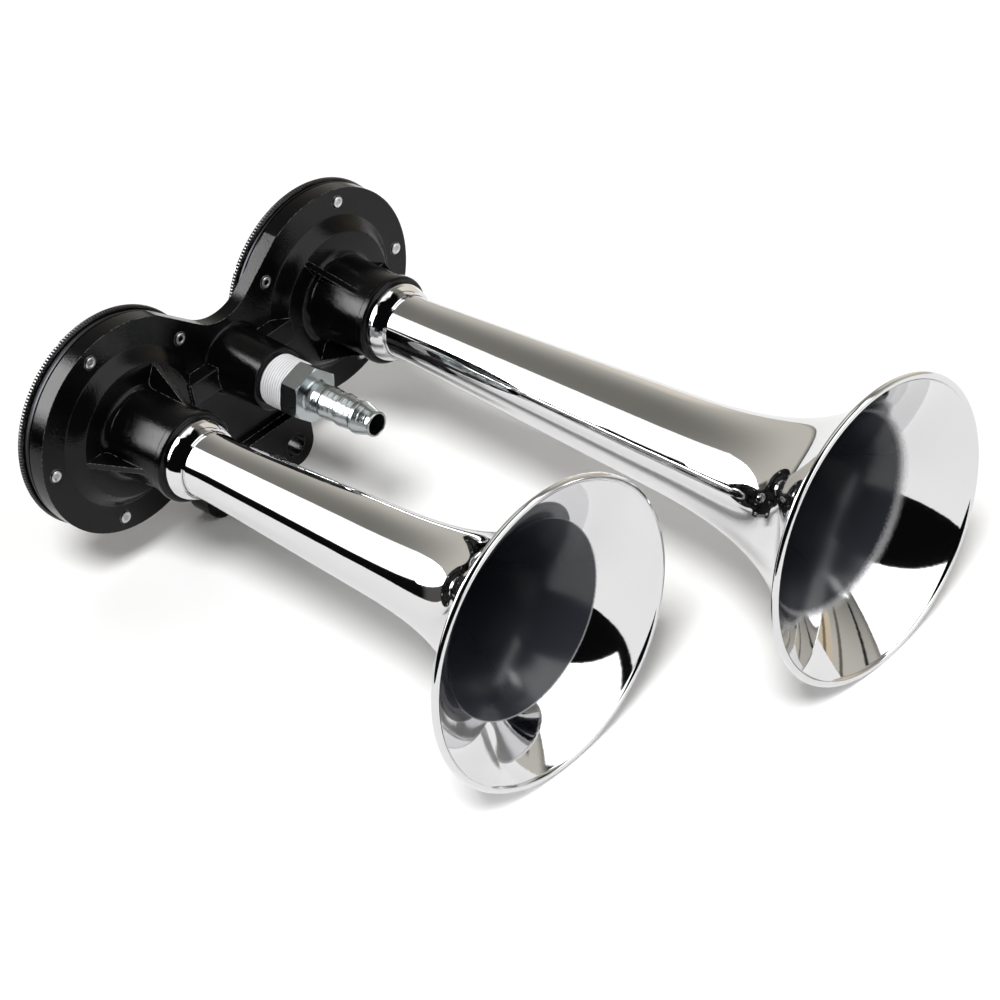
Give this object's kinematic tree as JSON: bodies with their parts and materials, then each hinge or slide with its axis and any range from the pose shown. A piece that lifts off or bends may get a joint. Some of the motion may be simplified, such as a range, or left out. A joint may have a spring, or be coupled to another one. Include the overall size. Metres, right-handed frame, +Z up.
{
  "type": "car air horn",
  "caption": "Air horn with flared chrome trumpets of unequal length on a black cast manifold, with a hose barb air inlet and a drilled mounting foot.",
  "frame": {"origin": "middle of the two bolt holes in the foot, on the foot's rear face", "axes": "the trumpets point along -Y, +X points to the side of the long trumpet, +Z is up"},
  "size_m": [0.2006, 0.259, 0.1083],
  "materials": {
    "manifold_paint": "gloss black paint over a die casting",
    "cover_paint": "gloss black paint, knurled edge",
    "trumpet_chrome": "polished chrome plate",
    "collar_chrome": "polished chrome plate",
    "screw_steel": "bright zinc plate",
    "diaphragm_steel": "plain spring steel",
    "barb_zinc": "bluish zinc plate with turning marks",
    "gasket_rubber": "matt black rubber",
    "seal_rubber": "matt black rubber",
    "tape_white": "white sealing tape with wound edges"
  },
  "bodies": {
    "root": {"collar_left": "collar_chrome", "collar_right": "collar_chrome", "cover_left": "cover_paint", "cover_right": "cover_paint", "cover_screw_left_1": "screw_steel", "cover_screw_left_2": "screw_steel", "cover_screw_left_3": "screw_steel", "cover_screw_left_4": "screw_steel", "cover_screw_left_5": "screw_steel", "cover_screw_right_1": "screw_steel", "cover_screw_right_2": "screw_steel", "cover_screw_right_3": "screw_steel", "cover_screw_right_4": "screw_steel", "cover_screw_right_5": "screw_steel", "diaphragm_left": "diaphragm_steel", "diaphragm_right": "diaphragm_steel", "gasket_left": "gasket_rubber", "gasket_right": "gasket_rubber", "hose_barb": "barb_zinc", "manifold": "manifold_paint", "packing_left": "gasket_rubber", "packing_right": "gasket_rubber", "seal_tape": "tape_white", "trumpet_left": "trumpet_chrome", "trumpet_right": "trumpet_chrome", "trumpet_seal_left": "seal_rubber", "trumpet_seal_right": "seal_rubber"}
  },
  "joints": []
}
